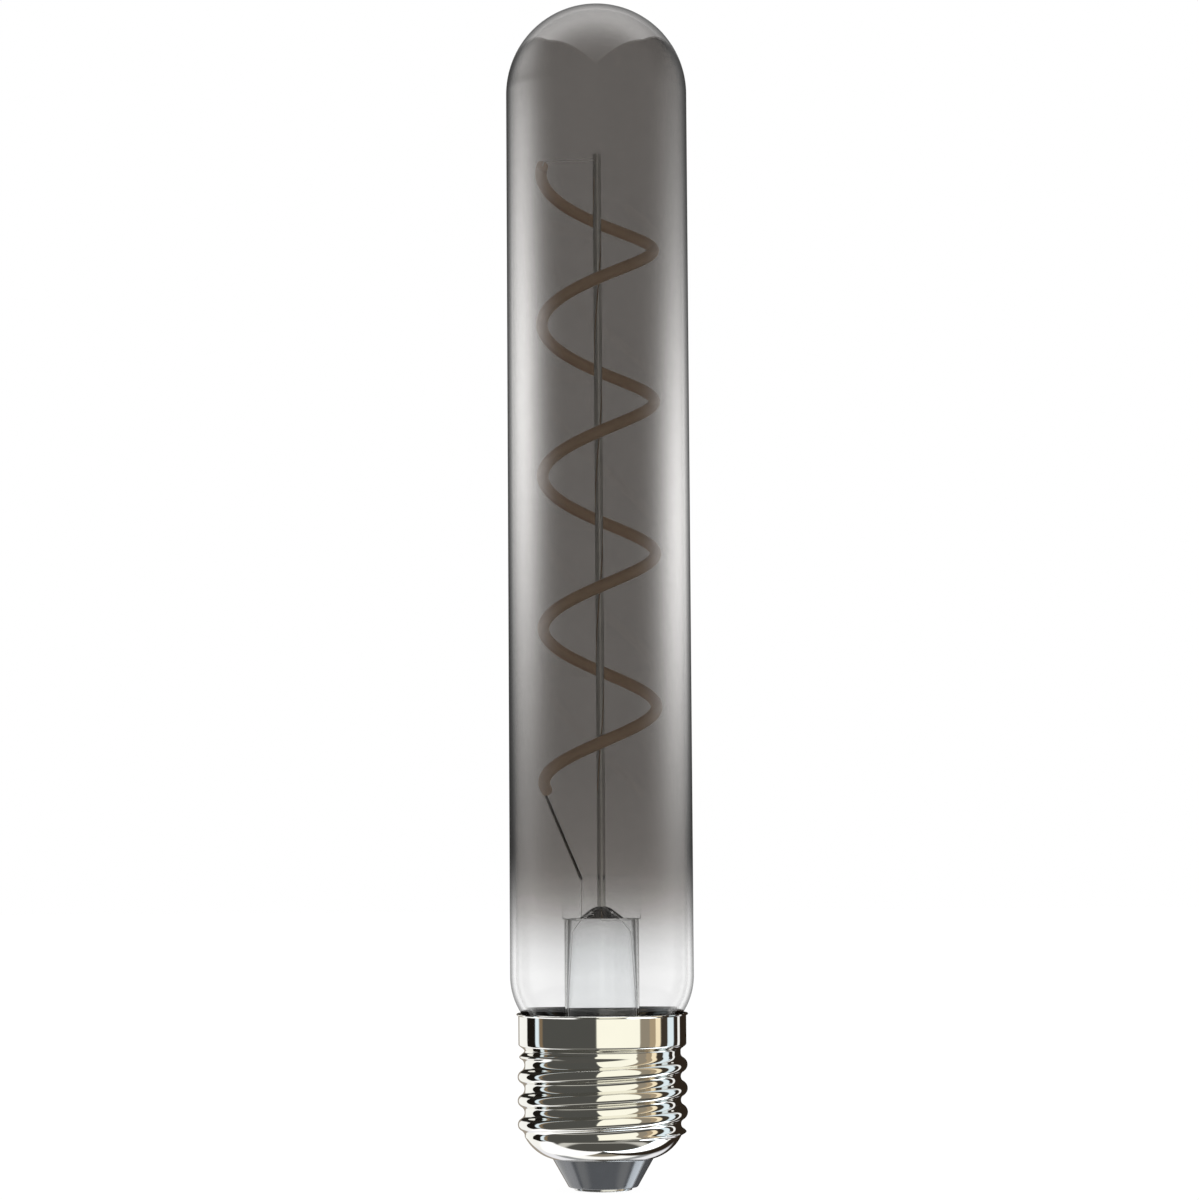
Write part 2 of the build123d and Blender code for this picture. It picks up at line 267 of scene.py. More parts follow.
# Inputs of the shared variation: patches and grains per metre, the roughness and how far it drifts
VARIATION_INPUTS = {"Patch Scale": 200.0, "Grain Scale": 3000.0, "Roughness": 0.2, "Spread": 0.1}
PATCH_DETAIL = 3
GRAIN_DETAIL = 2
RELIEF_HEIGHT = 0.05 * MM


def new_material(name):
    """A material with its nodes, its links and its shader."""
    material = bpy.data.materials.new(name)
    material.use_nodes = True
    nodes = material.node_tree.nodes
    return material, nodes, material.node_tree.links, nodes["Principled BSDF"]


def build_variation_group():
    """Soft patches and fine grain on Object coordinates, as a mask and as a roughness."""
    group = bpy.data.node_groups.new("surface_variation", "ShaderNodeTree")
    for name, default in VARIATION_INPUTS.items():
        socket = group.interface.new_socket(name, in_out="INPUT", socket_type="NodeSocketFloat")
        socket.default_value = default
    for name in ("Mask", "Roughness", "Grain"):
        group.interface.new_socket(name, in_out="OUTPUT", socket_type="NodeSocketFloat")
    nodes, links = group.nodes, group.links
    inputs = nodes.new("NodeGroupInput")
    outputs = nodes.new("NodeGroupOutput")
    place = nodes.new("ShaderNodeTexCoord")
    patch = nodes.new("ShaderNodeTexNoise")
    grain = nodes.new("ShaderNodeTexNoise")
    patch.inputs["Detail"].default_value = PATCH_DETAIL
    grain.inputs["Detail"].default_value = GRAIN_DETAIL
    for noise, scale in ((patch, "Patch Scale"), (grain, "Grain Scale")):
        links.new(place.outputs["Object"], noise.inputs["Vector"])
        links.new(inputs.outputs[scale], noise.inputs["Scale"])
    shift = nodes.new("ShaderNodeMath")
    shift.operation = "SUBTRACT"
    shift.inputs[1].default_value = 0.5
    links.new(patch.outputs["Fac"], shift.inputs[0])
    rough = nodes.new("ShaderNodeMath")
    rough.operation = "MULTIPLY_ADD"
    links.new(shift.outputs[0], rough.inputs[0])
    links.new(inputs.outputs["Spread"], rough.inputs[1])
    links.new(inputs.outputs["Roughness"], rough.inputs[2])
    links.new(patch.outputs["Fac"], outputs.inputs["Mask"])
    links.new(rough.outputs[0], outputs.inputs["Roughness"])
    links.new(grain.outputs["Fac"], outputs.inputs["Grain"])
    return group


VARIATION = build_variation_group()


def vary_colour(material, dark, light, values):
    """Lets the base colour drift between two tones, and returns the variation that does it."""
    nodes, links = material.node_tree.nodes, material.node_tree.links
    shader = nodes["Principled BSDF"]
    variation = nodes.new("ShaderNodeGroup")
    variation.node_tree = VARIATION
    for name, value in values.items():
        variation.inputs[name].default_value = value
    blend = nodes.new("ShaderNodeMix")
    blend.data_type = "RGBA"
    blend.inputs["A"].default_value = (*dark, 1)
    blend.inputs["B"].default_value = (*light, 1)
    links.new(variation.outputs["Mask"], blend.inputs["Factor"])
    links.new(blend.outputs["Result"], shader.inputs["Base Color"])
    return variation


def varied_material(name, dark, light, roughness, spread, metallic, patch, grain=3000.0, bump=0.0):
    """A finish whose colour and roughness drift a little over the surface."""
    material, nodes, links, shader = new_material(name)
    values = {"Patch Scale": patch, "Grain Scale": grain, "Roughness": roughness, "Spread": spread}
    variation = vary_colour(material, dark, light, values)
    links.new(variation.outputs["Roughness"], shader.inputs["Roughness"])
    shader.inputs["Metallic"].default_value = metallic
    if bump:
        relief = nodes.new("ShaderNodeBump")
        relief.inputs["Strength"].default_value = bump
        relief.inputs["Distance"].default_value = RELIEF_HEIGHT
        links.new(variation.outputs["Grain"], relief.inputs["Height"])
        links.new(relief.outputs["Normal"], shader.inputs["Normal"])
    return material


def set_glow(material, colour, strength):
    """Light that a surface gives off by itself."""
    shader = material.node_tree.nodes["Principled BSDF"]
    shader.inputs["Emission Color"].default_value = (*colour, 1)
    shader.inputs["Emission Strength"].default_value = strength


def set_glass(shader, refraction):
    """Makes a shader smooth clear glass, which keeps its base colour."""
    shader.inputs["Roughness"].default_value = 0.0
    shader.inputs["IOR"].default_value = refraction
    shader.inputs["Transmission Weight"].default_value = 1.0


# Clearness of one wall of the tube by height in mm: the smoke fades out towards the cap
SMOKE = (
    (28, 0.98),
    (33, 0.945),
    (36.6, 0.865),
    (39.9, 0.735),
    (42.8, 0.585),
    (46, 0.46),
    (48.9, 0.39),
    (53.2, 0.362),
    (64, 0.34),
)
SMOKE_FOOT = SMOKE[0][0] * MM
SMOKE_HEAD = SMOKE[-1][0] * MM

# Warmth of the smoke: change of red, green and blue, from none at one clearness to full a range below it
SMOKE_WARMTH = (0.05, 0.01, -0.025)
WARM_FROM = 0.8
WARM_RANGE = 0.4


def smoke_glass_material():
    """Glass with a smoke tint on the tube, which fades to clear towards the cap."""
    material, nodes, links, shader = new_material("smoke_glass")
    place = nodes.new("ShaderNodeTexCoord")
    split = nodes.new("ShaderNodeSeparateXYZ")
    links.new(place.outputs["Object"], split.inputs[0])
    height = nodes.new("ShaderNodeMapRange")
    height.inputs["From Min"].default_value = SMOKE_FOOT
    height.inputs["From Max"].default_value = SMOKE_HEAD
    links.new(split.outputs["Z"], height.inputs["Value"])
    ramp = nodes.new("ShaderNodeValToRGB")
    elements = ramp.color_ramp.elements
    while len(elements) < len(SMOKE):
        elements.new(0.5)
    for element, (up, clear) in zip(elements, SMOKE):
        warm = min(1.0, max(0.0, (WARM_FROM - clear) / WARM_RANGE))
        element.position = (up * MM - SMOKE_FOOT) / (SMOKE_HEAD - SMOKE_FOOT)
        element.color = (*(clear * (1 + change * warm) for change in SMOKE_WARMTH), 1)
    links.new(height.outputs["Result"], ramp.inputs["Fac"])
    links.new(ramp.outputs["Color"], shader.inputs["Base Color"])
    set_glass(shader, refraction=1.47)
    return material


def clear_glass_material():
    """The stem's glass, faintly blue in places."""
    material, _, _, shader = new_material("clear_glass")
    vary_colour(material, (0.95, 0.965, 0.975), (0.98, 0.985, 0.985), {"Patch Scale": 120})
    set_glass(shader, refraction=1.5)
    return material


# Finishes that drift: darker and lighter tone, roughness and its spread, metallic, patches per metre and,
# where the surface is grainy, grains per metre and strength of their relief
FINISHES = {
    "cap_metal": ((0.86, 0.85, 0.81), (0.93, 0.92, 0.88), 0.035, 0.03, 1.0, 150.0),
    "polished_steel": ((0.74, 0.74, 0.72), (0.82, 0.82, 0.80), 0.08, 0.05, 1.0, 300.0),
    "lead_wire": ((0.34, 0.32, 0.30), (0.44, 0.42, 0.39), 0.35, 0.1, 1.0, 900.0),
    "feed_wire": ((0.84, 0.83, 0.81), (0.92, 0.91, 0.89), 0.6, 0.1, 0.0, 900.0),
    "contact_metal": ((0.68, 0.68, 0.67), (0.8, 0.8, 0.79), 0.22, 0.15, 1.0, 500.0),
    "filament_coating": ((0.68, 0.50, 0.35), (0.80, 0.61, 0.45), 0.5, 0.15, 0.0, 700.0, 4000.0, 0.1),
    "insulator_glass": ((0.076, 0.081, 0.090), (0.092, 0.098, 0.108), 0.08, 0.05, 0.0, 300.0),
    # Painted shade: the cement is near-black to stand for the dark gap between the glass and the cap's rim
    "cement": ((0.010, 0.010, 0.009), (0.022, 0.021, 0.019), 0.9, 0.1, 0.0, 900.0, 5000.0, 0.4),
    "board": ((0.05, 0.18, 0.09), (0.08, 0.26, 0.13), 0.35, 0.1, 0.0, 500.0),
    "capacitor_sleeve": ((0.03, 0.035, 0.05), (0.05, 0.06, 0.08), 0.25, 0.1, 0.0, 400.0),
    "ferrite": ((0.06, 0.06, 0.06), (0.11, 0.11, 0.11), 0.7, 0.2, 0.0, 1200.0),
    "copper_winding": ((0.55, 0.22, 0.10), (0.72, 0.34, 0.16), 0.3, 0.1, 1.0, 1500.0),
    "chip_plastic": ((0.02, 0.02, 0.02), (0.04, 0.04, 0.04), 0.6, 0.2, 0.0, 1500.0),
    "resistor_coat": ((0.28, 0.36, 0.30), (0.38, 0.46, 0.38), 0.6, 0.2, 0.0, 900.0),
    "mains_wire": ((0.6, 0.57, 0.52), (0.72, 0.68, 0.62), 0.3, 0.1, 1.0, 900.0),
}

# Painted light: a faint glow, as colour and strength, on the filament and the feed wires, which are no lamp
# and would be too dark inside the lamp
PAINTED_GLOWS = {
    "filament_coating": ((1.0, 0.76, 0.55), 0.07),
    "feed_wire": ((0.8, 0.8, 0.78), 0.2),
}
INSULATOR_SHINE = 1.0


def build_finishes():
    """All materials of the lamp by name."""
    finishes = {"smoke_glass": smoke_glass_material(), "clear_glass": clear_glass_material()}
    for name, values in FINISHES.items():
        finishes[name] = varied_material(name, *values)
    # Painted light: the filament and the feed wires glow faintly to stand in for light they lack
    for name, (colour, strength) in PAINTED_GLOWS.items():
        set_glow(finishes[name], colour, strength)
    insulator = finishes["insulator_glass"].node_tree.nodes["Principled BSDF"]
    insulator.inputs["Specular IOR Level"].default_value = INSULATOR_SHINE
    return finishes


# Pieces


def build_envelope():
    """Blown tube with a round end, a shoulder and a neck that goes into the cap."""
    low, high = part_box("glass_envelope")
    radius = high.x
    bends = SHOULDER_RADIUS + NECK_BEND_RADIUS
    turn = math.degrees(math.acos(1 - (radius - NECK_RADIUS) / bends))
    cap_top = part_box("screw_shell")[1].z
    bend_foot = cap_top - NECK_BEND_DEPTH
    shoulder = bend_foot + bends * math.sin(math.radians(turn))

    def side(inset):
        dome = (0, high.z - radius)
        lean = (radius - SHOULDER_RADIUS, shoulder)
        back = (NECK_RADIUS + NECK_BEND_RADIUS, bend_foot)
        points = arc(dome, radius - inset, 90, 0, steps=40)
        points += line((radius - inset, dome[1]), (radius - inset, shoulder), steps=24)[1:]
        points += arc(lean, SHOULDER_RADIUS - inset, 0, -turn, steps=16)[1:]
        points += arc(back, NECK_BEND_RADIUS + inset, 180 - turn, 180, steps=12)[1:]
        return points + [(NECK_RADIUS - inset, low.z)]

    return turned("envelope_glass", side(0) + list(reversed(side(GLASS_WALL))))


def thread_wave(x, y, z, foot):
    """Height of the thread from 0 in a groove to 1 on a crest, both round, along the helix."""
    turn = np.arctan2(y, x) / (2 * math.pi)
    phase = (z - foot) / THREAD_PITCH - turn
    away = np.abs(phase - np.round(phase)) * THREAD_PITCH
    quarter = THREAD_PITCH / 4

    def sag(reach):
        return THREAD_ARC - np.sqrt(THREAD_ARC**2 - reach**2)

    crest = 1 - sag(np.minimum(away, quarter)) / (2 * sag(quarter))
    groove = sag(np.clip(2 * quarter - away, 0, quarter)) / (2 * sag(quarter))
    return np.where(away < quarter, crest, groove)


def build_screw_shell():
    """Sheet cap with a bowl, a rolled thread, a skirt and a lip; its inside is plain."""
    low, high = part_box("screw_shell")
    foot = low.z + BOWL_HEIGHT
    skirt_foot = high.z - SKIRT_LENGTH
    head = skirt_foot - SKIRT_STEP
    lip = high.x
    lip_foot = high.z - SHEET

    def step(inset, steps=10):
        rise = SKIRT_RADIUS - THREAD_MINOR
        shares = [k / steps for k in range(steps + 1)]
        waves = [(1 - math.cos(math.pi * s)) / 2 for s in shares]
        return [(THREAD_MINOR - inset + rise * w, head + SKIRT_STEP * s) for w, s in zip(waves, shares)]

    outside = arc_between((MOUTH_RADIUS, low.z), (THREAD_MINOR, foot), BOWL_RADIUS, steps=24)
    outside += line((THREAD_MINOR, foot), (THREAD_MINOR, head), THREAD_ROWS)[1:]
    outside += step(0)[1:]
    outside += line((SKIRT_RADIUS, skirt_foot), (SKIRT_RADIUS, lip_foot - LIP_ROUND), steps=6)[1:]
    outside += [(SKIRT_RADIUS + LIP_ROUND, lip_foot)]
    outside += [(lip - LIP_ROUND, lip_foot), (lip, lip_foot + LIP_ROUND), (lip, high.z - LIP_ROUND)]
    outside += [(lip - LIP_ROUND, high.z)]
    inside = [(SKIRT_RADIUS - SHEET, high.z), (SKIRT_RADIUS - SHEET, skirt_foot)]
    inside += list(reversed(step(SHEET)))
    seat = (MOUTH_RADIUS - SHEET, low.z + SHEET / 2)
    inside += list(reversed(arc_between(seat, (SHELL_BORE, foot), BOWL_RADIUS - SHEET, steps=12)))
    piece = turned("cap_shell", outside + inside, closed=True, steps=SHELL_STEPS)

    def roll_thread(x, y, z):
        radius = np.hypot(x, y)
        fade = smoothstep(foot, foot + THREAD_FADE_FOOT, z)
        fade *= 1 - smoothstep(head - THREAD_FADE_HEAD, head, z)
        threaded = (np.abs(radius - THREAD_MINOR) < SHEET / 2) & (z > foot) & (z < head)
        rise = np.where(threaded, THREAD_DEPTH * thread_wave(x, y, z, foot) * fade, 0)
        scale = 1 + rise / np.maximum(radius, MM)
        return x * scale, y * scale, z

    reshape(piece, roll_thread)
    clean(piece)
    return piece


def build_insulator():
    """Cone from the shell's mouth to the contact, with a wide well on its inner side."""
    low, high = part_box("insulator")
    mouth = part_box("screw_shell")[0].z
    seat = (MOUTH_RADIUS - SHEET, mouth + SHEET / 2)
    well_floor = high.z - INSULATOR_WELL_DEPTH
    round_centre = (INSULATOR_FOOT - INSULATOR_ROUND, low.z + INSULATOR_ROUND)
    lean = math.degrees(math.atan2(MOUTH_RADIUS - INSULATOR_FOOT, mouth - low.z))
    edge = (MOUTH_RADIUS - INSULATOR_EDGE_IN, mouth - INSULATOR_EDGE_DOWN)
    outline = [(CONTACT_SHANK, low.z)]
    outline += arc(round_centre, INSULATOR_ROUND, -90, -lean, steps=8)
    outline += line(outline[-1], edge, steps=12)[1:]
    outline += arc_between(seat, (SHELL_BORE, high.z), BOWL_RADIUS - SHEET, steps=10)
    outline += [(INSULATOR_WELL, high.z), (INSULATOR_WELL, well_floor), (CONTACT_SHANK, well_floor)]
    return turned("insulator_cone", outline, closed=True)


def build_contact():
    """Flat disc with a rounded rim, on a shank that goes into the insulator."""
    low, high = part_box("centre_contact")
    radius = high.x
    round_centre = (radius - CONTACT_ROUND, low.z + CONTACT_ROUND)
    outline = [(0, low.z)] + arc(round_centre, CONTACT_ROUND, -90, 0, steps=6)
    outline += [(radius, CONTACT_THICKNESS), (CONTACT_SHANK, CONTACT_THICKNESS)]
    outline += [(CONTACT_SHANK, high.z), (0, high.z)]
    return turned("contact_disc", outline)


def bevelled_block(size, height, radius, picked):
    """A block on the axis whose picked edges, by their two ends, are rounded."""
    bpy.ops.mesh.primitive_cube_add(size=1)
    block = bpy.context.object
    activate(block)
    bpy.ops.transform.resize(value=size)
    bpy.ops.transform.translate(value=(0, 0, height))
    bpy.ops.object.transform_apply(location=True, rotation=False, scale=True)
    select_edges(block, lambda edge: picked(*(block.data.vertices[v].co for v in edge.vertices)))
    bpy.ops.mesh.bevel(offset=radius, segments=PRESS_ROUND_STEPS, affect="EDGES")
    bpy.ops.object.mode_set(mode="OBJECT")
    return block


def build_press(foot, head):
    """The stem's pressed head: flat faces, with the upper corners and the upright edges rounded."""
    size = (PRESS_WIDTH, PRESS_DEPTH, head - foot)
    middle = (head + foot) / 2
    press = bevelled_block(size, middle, PRESS_CORNER, lambda a, b: abs(a.y - b.y) > MM and a.z > middle)
    column = bevelled_block(size, middle, PRESS_EDGE, lambda a, b: abs(a.z - b.z) > MM)
    merge_body(press, column, "INTERSECT")
    return press


def build_bell(crown_head, crown_foot, flare_head, rim, foot):
    """The hollow under the pressed head, as a body to cut away: a blunt cone on a flaring tube."""
    tip_rise = BELL_TIP_RADIUS - BELL_CROWN_HEIGHT
    lean = math.asin(BELL_TIP_RADIUS / math.hypot(BELL_CROWN_HALF, tip_rise))
    lean -= math.atan2(tip_rise, BELL_CROWN_HALF)
    tip_centre = (0, crown_head - BELL_TIP_RADIUS)
    bell = arc(tip_centre, BELL_TIP_RADIUS, 90, 90 - math.degrees(lean), steps=16)
    bell += line(bell[-1], (BELL_CROWN_HALF, crown_foot), steps=6)[1:]
    bell += line((BELL_SHOULDER_RADIUS, crown_foot), (BELL_FOOT_RADIUS, flare_head), steps=30)
    bell += trumpet((BELL_FOOT_RADIUS, flare_head), (rim, foot), steps=24)[1:]
    below = foot - FLARE_WALL
    return turned("bell", bell + [(rim, below), (0, below)])


def build_stem():
    """Tube with a flared foot and a pressed head, hollowed out by the bell."""
    low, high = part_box("glass_stem")
    flare_head = low.z + FLARE_HEIGHT
    rim = NECK_RADIUS - GLASS_WALL - FLARE_GAP
    crown_head = high.z - BELL_CROWN_BELOW
    crown_foot = crown_head - BELL_CROWN_HEIGHT
    tube_head = crown_foot + PRESS_ROOT
    tube = [(0, tube_head)] + line((STEM_RADIUS, tube_head), (STEM_RADIUS, flare_head), steps=30)
    tube += trumpet((STEM_RADIUS, flare_head), (rim, low.z + FLARE_RIM), steps=24)[1:]
    piece = turned("stem_glass", tube + [(rim, low.z), (0, low.z)])
    merge_body(piece, build_press(crown_foot - PRESS_ROOT, high.z), "UNION")
    merge_body(piece, build_bell(crown_head, crown_foot, flare_head, rim - FLARE_WALL, low.z), "DIFFERENCE")
    clean(piece, STEM_SHARP_ANGLE)
    return piece


def build_rod():
    """Post whose two ends have slightly broken edges."""
    low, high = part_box("centre_rod")
    radius = high.x
    outline = [(0, low.z), (radius - ROD_EDGE, low.z), (radius, low.z + ROD_EDGE)]
    outline += line((radius, low.z + ROD_EDGE), (radius, high.z - ROD_EDGE), steps=24)[1:]
    outline += [(radius - ROD_EDGE, high.z), (0, high.z)]
    return turned("rod", outline, steps=ROD_STEPS)


def build_filament():
    """One round strand wound into a spiral and closed at both ends."""
    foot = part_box("glass_stem")[1].z + FILAMENT_ABOVE_STEM
    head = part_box("centre_rod")[1].z - FILAMENT_BELOW_ROD
    whole_turn = FILAMENT_TURNS * 2 * math.pi
    lean = math.atan2((head - foot) / whole_turn, COIL_RADIUS)
    bpy.ops.mesh.primitive_circle_add(vertices=STRAND_SIDES, fill_type="NOTHING")
    piece = bpy.context.object
    piece.name = piece.data.name = "filament_coil"
    around = [2 * math.pi * k / STRAND_SIDES for k in range(STRAND_SIDES)]
    section = [
        (
            COIL_RADIUS + STRAND_RADIUS * math.cos(a),
            -STRAND_RADIUS * math.sin(a) * math.sin(lean),
            foot + STRAND_RADIUS * math.sin(a) * math.cos(lean),
        )
        for a in around
    ]
    piece.data.vertices.foreach_set("co", np.array(section, dtype=np.float32).ravel())
    activate(piece)
    screw = piece.modifiers.new("Coil", "SCREW")
    screw.axis = "Z"
    screw.angle = whole_turn
    screw.screw_offset = head - foot
    screw.steps = screw.render_steps = FILAMENT_STEPS
    bpy.ops.object.modifier_apply(modifier=screw.name)
    bpy.ops.object.mode_set(mode="EDIT")
    bpy.ops.mesh.select_mode(type="EDGE")
    bpy.ops.mesh.select_all(action="DESELECT")
    bpy.ops.mesh.select_non_manifold()
    bpy.ops.mesh.edge_face_add()
    bpy.ops.mesh.select_all(action="SELECT")
    bpy.ops.mesh.normals_make_consistent(inside=False)
    bpy.ops.object.mode_set(mode="OBJECT")
    piece.data.transform(Matrix.Rotation(FILAMENT_FOOT_ANGLE, 4, "Z"))
    activate(piece)
    bpy.ops.object.shade_smooth_by_angle(angle=math.radians(FILAMENT_SHARP_ANGLE))
    return piece


# World, floor and camera


class Sums:
    """Short names for the arithmetic nodes of one node tree."""

    def __init__(self, tree):
        self.tree = tree

    def math(self, operation, *values):
        """One operation on numbers or on other nodes' outputs."""
        node = self.tree.nodes.new("ShaderNodeMath")
        node.operation = operation
        for socket, value in zip(node.inputs, values):
            if isinstance(value, (int, float)):
                socket.default_value = value
            else:
                self.tree.links.new(value, socket)
        return node.outputs[0]

    def times(self, a, b):
        return self.math("MULTIPLY", a, b)

    def ease(self, limits, value):
        """Rises softly from 0 at the first limit to 1 at the second, which may be the lower one."""
        node = self.tree.nodes.new("ShaderNodeMapRange")
        node.interpolation_type = "SMOOTHSTEP"
        node.inputs["From Min"].default_value, node.inputs["From Max"].default_value = limits
        self.tree.links.new(value, node.inputs["Value"])
        return node.outputs["Result"]

    def bump(self, value, centre, width):
        """A bell curve."""
        share = self.math("DIVIDE", self.math("SUBTRACT", value, centre), width)
        return self.math("EXPONENT", self.times(self.times(share, share), -0.5))

    def share(self, angle, half):
        """An angle from -half to half as a share from 0 to 1."""
        return self.math("DIVIDE", self.math("ADD", angle, half), 2 * half)

    def ramp(self, value, stops):
        """The colour at a value between stops of place and colour."""
        node = self.tree.nodes.new("ShaderNodeValToRGB")
        elements = node.color_ramp.elements
        while len(elements) < len(stops):
            elements.new(0.5)
        for element, (position, colour) in zip(elements, stops):
            element.position = position
            element.color = (*colour, 1)
        self.tree.links.new(value, node.inputs["Fac"])
        return node.outputs["Color"]

    def mix(self, factor, a, b):
        """Colour a where the factor is 0 and colour b where it is 1."""
        node = self.tree.nodes.new("ShaderNodeMix")
        node.data_type = "RGBA"
        self.tree.links.new(factor, node.inputs["Factor"])
        colours = [socket for socket in node.inputs if socket.type == "RGBA"]
        for socket, value in zip(colours, (a, b)):
            if isinstance(value, tuple):
                socket.default_value = (*value, 1)
            else:
                self.tree.links.new(value, socket)
        return [socket for socket in node.outputs if socket.type == "RGBA"][0]


# Studio panels round the lamp: where each one ends and its colour. Azimuths here and below are in degrees
# from the camera, with right positive
PANELS = (
    (-160, (0.36, 0.32, 0.27)),
    (-126, (1.0, 1.0, 0.98)),
    (-105, (0.012, 0.010, 0.008)),
    (-97, (0.80, 0.92, 1.0)),
    (-90, (0.22, 0.16, 0.10)),
    (-8, (0.080, 0.080, 0.074)),
    (53, (1.08, 1.06, 0.92)),
    (68, (0.30, 0.26, 0.20)),
    (78, (0.42, 0.33, 0.22)),
    (87, (1.0, 0.86, 0.62)),
    (101, (0.05, 0.04, 0.03)),
    (115, (0.80, 0.92, 1.0)),
    (126, (0.03, 0.022, 0.016)),
    (133, (1.0, 1.0, 1.0)),
    (180, (0.028, 0.020, 0.014)),
)
PANEL_EDGE = 1.2

# Tones in front of the lamp above and below the panels, by height in degrees
LEVELS = (
    (-90, (0.08, 0.078, 0.07)),
    (-60, (0.085, 0.083, 0.076)),
    (-56, (0.62, 0.61, 0.57)),
    (-51, (0.62, 0.61, 0.57)),
    (-48, (0.085, 0.083, 0.076)),
    (70, (0.09, 0.09, 0.08)),
    (74, (0.24, 0.23, 0.21)),
    (81, (0.24, 0.23, 0.21)),
    (85, (0.10, 0.09, 0.08)),
    (90, (0.10, 0.09, 0.08)),
)

# Tones low down behind the lamp, which the end of the cap reflects
BACK_LEVELS = (
    (-90, (0.08, 0.078, 0.07)),
    (-80, (0.08, 0.078, 0.07)),
    (-76, (0.28, 0.25, 0.20)),
    (-68, (0.28, 0.25, 0.20)),
    (-64, (1.1, 1.1, 1.1)),
    (-52, (1.1, 1.1, 1.1)),
    (-49, (0.32, 0.33, 0.34)),
    (-42, (0.32, 0.33, 0.34)),
    (-38, (0.9, 0.9, 0.95)),
    (0, (0.9, 0.9, 0.95)),
)

# Tones that metal and glass inside the lamp reflect, by azimuth
SOFT_PANELS = (
    (-180, 0.25),
    (-168, 0.25),
    (-163, 0.85),
    (-120, 0.85),
    (-92, 0.62),
    (-11, 0.62),
    (-5, 1.2),
    (38, 1.2),
    (44, 0.70),
    (100, 0.85),
    (163, 0.85),
    (168, 0.25),
    (180, 0.25),
)
SOFT_BLUE = 0.98

# Where tones fade in, from none to full, in degrees of height or of azimuth
EYE_LEVEL_FOOT = (-26.0, -20.0)
EYE_LEVEL_HEAD = (78.0, 70.0)
SIDES_FROM = (98.0, 107.0)
UPPER_LEFT_EDGE = (-1.0, 3.0)
UPPER_LEFT_SLOPE = 0.47
UPPER_LEFT_TOP = 18.0
UPPER_RIGHT_FOOT = (14.0, 22.0)
UPPER_RIGHT_END = (128.0, 118.0)
LOWER_SIDES = (-30.0, -36.0)
LOWER_RIGHT_END = (130.0, 127.0)
LOWER_BACK = (-20.0, -26.0)
LOWER_BACK_FROM = (150.0, 158.0)
BELL_EDGE_FROM = (117.0, 121.0)
BELL_EDGE_END = (150.0, 144.0)
INNER_TOP = (16.0, 22.0)

UPPER_LEFT_TONE = (0.02, 0.018, 0.015)
UPPER_RIGHT_TONE = (0.80, 0.92, 1.0)
LOWER_LEFT_TONE = (1.2, 1.2, 1.22)
LOWER_RIGHT_TONE = (3.2, 3.5, 3.8)
BELL_EDGE_TONE = (0.2, 0.2, 0.196)
INNER_TOP_TONE = (0.03, 0.03, 0.029)

# Soft boxes in the glass, in degrees. Core and halo give the height, its spread and the strength, and lean
# is what each degree of height adds to the azimuth
LEFT_BOX = {
    "core": (7.6, 3.3, 6.7),
    "halo": (25.0, 14.0, 1.8),
    "azimuth": -100.8,
    "spread": 20.0,
    "lean": 0.3,
}
RIGHT_BOX = {
    "core": (5.6, 2.9, 6.3),
    "halo": (14.0, 11.0, 0.58),
    "azimuth": 102.5,
    "spread": 21.0,
    "lean": -0.7,
}

# Wedge of light overhead, on a level plane at a height of 1
WEDGE_STRENGTH = 2.9
WEDGE_MIDDLE = 0.05
WEDGE_LENGTH = 0.55
WEDGE_TAPER = 0.378
WEDGE_HALF_WIDTH = 0.785
WEDGE_WIDEST = 0.835
WEDGE_EDGE = (0.0, 0.025)
WEDGE_LOWEST = 0.05

# Pale tones low down in the glass: dimmer straight behind the lamp and in front of it
LOW_TONE = 0.9
LOW_FADE = (0.3, -1.8)
LOW_BEHIND = (152.0, 163.0)
LOW_BEHIND_LOSS = -0.55
LOW_BESIDE = (20.0, 100.0)
LOW_FRONT = 0.12
GLASS_LEAST_TONE = 0.05

# A ray that has been inside the tube has passed through more faces of glass than the first value, and one
# that was reflected at all has a glossy depth above the second
OUTSIDE_LIMIT = 2.5
REFLECTED = 0.5


def panel_stops():
    """Colour stops of the panels, with a short soft edge between neighbours."""
    stops = [(0.0, PANELS[0][1])]
    for (edge, colour), (_, following) in zip(PANELS, PANELS[1:]):
        stops.append(((edge - PANEL_EDGE / 2 + 180) / 360, colour))
        stops.append(((edge + PANEL_EDGE / 2 + 180) / 360, following))
    return stops + [(1.0, PANELS[-1][1])]


def level_stops(levels):
    """Colour stops of tones by height."""
    return [((height + 90) / 180, colour) for height, colour in levels]


